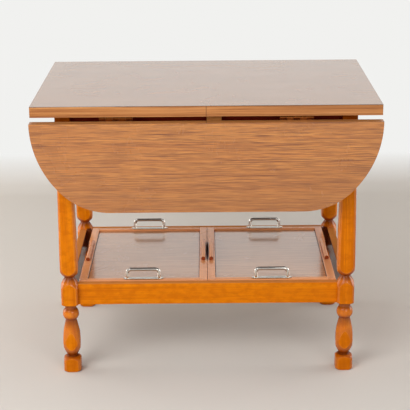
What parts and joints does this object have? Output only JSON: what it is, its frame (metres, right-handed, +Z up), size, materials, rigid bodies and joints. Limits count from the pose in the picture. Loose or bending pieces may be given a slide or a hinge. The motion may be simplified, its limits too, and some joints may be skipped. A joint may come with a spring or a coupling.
{
  "type": "drop leaf tea trolley",
  "caption": "Drop leaf tea trolley on turned legs, with hinged half round leaves, pull-out leaf supports and lift-out trays on the lower shelf.",
  "frame": {"origin": "on the floor, under the middle of the top", "axes": "+X to the right along the width and the hinge lines, -Y to the front, +Z up; leaves hanging, lopers in, trays resting"},
  "size_m": [0.8, 0.58, 0.67],
  "materials": {
    "top_laminate": "glossy wood-grain laminate",
    "leaf_laminate": "satin wood-grain laminate",
    "tray_laminate": "glossy wood-grain laminate",
    "edging": "lacquered teak strip",
    "board": "raw chipboard",
    "legs": "honey varnish",
    "shelf_rails": "honey varnish",
    "aprons": "dark stained board",
    "tray_rails": "lacquered teak",
    "grips": "lacquered hardwood rod",
    "lopers": "plain hardwood",
    "peg": "beech dowel",
    "hidden_wood": "plain softwood",
    "hinges": "aged brass",
    "screws": "plated steel",
    "chrome": "bright chrome"
  },
  "bodies": {
    "frame": {"top_core": "board", "top_laminate": "top_laminate", "top_edging_front": "edging", "top_edging_rear": "edging", "top_edging_ends": "edging", "hinge_frame_plates": "hinges", "hinge_pins": "hinges", "hinge_frame_screws": "screws", "leg_front_left": "legs", "leg_front_right": "legs", "leg_rear_left": "legs", "leg_rear_right": "legs", "apron_front": "aprons", "apron_rear": "aprons", "apron_left": "aprons", "apron_right": "aprons", "corner_blocks": "hidden_wood", "corner_block_screws": "screws", "loper_guide": "hidden_wood", "loper_guide_screws": "screws", "shelf_rail_front": "shelf_rails", "shelf_rail_rear": "shelf_rails", "shelf_rail_left": "shelf_rails", "shelf_rail_right": "shelf_rails", "tray_batten_front": "hidden_wood", "tray_batten_rear": "hidden_wood", "batten_screws": "screws", "tray_bearer": "aprons"},
    "front_leaf": {"front_leaf_core": "board", "front_leaf_laminate": "leaf_laminate", "front_leaf_edging_band": "edging", "front_leaf_edging_strips": "edging", "front_hinge_leaf_plates": "hinges", "front_hinge_leaf_screws": "screws"},
    "rear_leaf": {"rear_leaf_core": "board", "rear_leaf_laminate": "leaf_laminate", "rear_leaf_edging_band": "edging", "rear_leaf_edging_strips": "edging", "rear_hinge_leaf_plates": "hinges", "rear_hinge_leaf_screws": "screws"},
    "front_loper": {"front_loper": "lopers", "front_loper_peg": "peg"},
    "rear_loper": {"rear_loper": "lopers", "rear_loper_peg": "peg"},
    "left_tray": {"left_tray_panel": "board", "left_tray_laminate": "tray_laminate", "left_tray_side_rails": "tray_rails", "left_tray_end_rails": "tray_rails", "left_tray_grips": "grips", "left_tray_handles": "chrome", "left_tray_handle_plates": "chrome", "left_tray_handle_screws": "screws"},
    "right_tray": {"right_tray_panel": "board", "right_tray_laminate": "tray_laminate", "right_tray_side_rails": "tray_rails", "right_tray_end_rails": "tray_rails", "right_tray_grips": "grips", "right_tray_handles": "chrome", "right_tray_handle_plates": "chrome", "right_tray_handle_screws": "screws"}
  },
  "joints": [
    {"name": "front_leaf_hinge", "type": "hinge", "parent": "frame", "child": "front_leaf", "pos_m": [0, -0.2605, 0.6405], "axis": [-1, 0, 0], "range_deg": [0, 90]},
    {"name": "rear_leaf_hinge", "type": "hinge", "parent": "frame", "child": "rear_leaf", "pos_m": [0, 0.2605, 0.6405], "axis": [1, 0, 0], "range_deg": [0, 90]},
    {"name": "front_loper_slide", "type": "slide", "parent": "frame", "child": "front_loper", "axis": [0, -1, 0], "range_m": [0, 0.028]},
    {"name": "rear_loper_slide", "type": "slide", "parent": "frame", "child": "rear_loper", "axis": [0, 1, 0], "range_m": [0, 0.028]},
    {"name": "left_tray_lift", "type": "slide", "parent": "frame", "child": "left_tray", "axis": [0, 0, 1], "range_m": [0, 0.15]},
    {"name": "right_tray_lift", "type": "slide", "parent": "frame", "child": "right_tray", "axis": [0, 0, 1], "range_m": [0, 0.15]}
  ]
}
